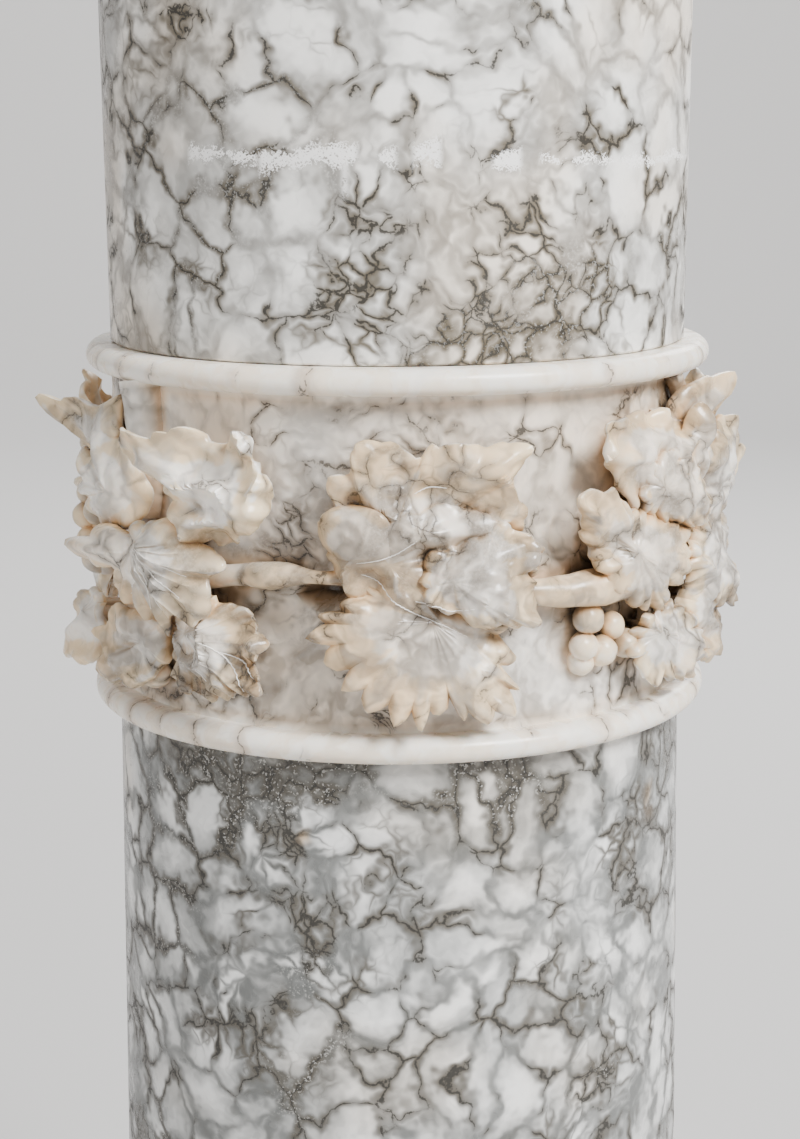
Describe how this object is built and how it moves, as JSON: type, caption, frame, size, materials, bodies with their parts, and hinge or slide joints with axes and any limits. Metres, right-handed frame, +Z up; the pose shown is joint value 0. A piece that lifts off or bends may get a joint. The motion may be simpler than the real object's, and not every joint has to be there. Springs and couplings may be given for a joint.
{
  "type": "alabaster column",
  "caption": "Round pedestal column in veined alabaster, with a collar of carved vine leaves and grapes between two bead rings, a square plinth and a square top.",
  "frame": {"origin": "centre of the plinth's underside, on the floor", "axes": "+Z up along the column's axis, -Y towards the front seen in the picture"},
  "size_m": [0.28, 0.28, 1.0522],
  "materials": {
    "grey_alabaster": "polished, with white nodules and grey veins",
    "cream_alabaster": "carved and softly polished, tan in the hollows",
    "white_alabaster": "polished, with grey and olive veins"
  },
  "bodies": {
    "root": {"foot": "grey_alabaster", "lower_shaft": "grey_alabaster", "vine_collar": "cream_alabaster", "upper_shaft": "white_alabaster", "cap": "white_alabaster"}
  },
  "joints": []
}
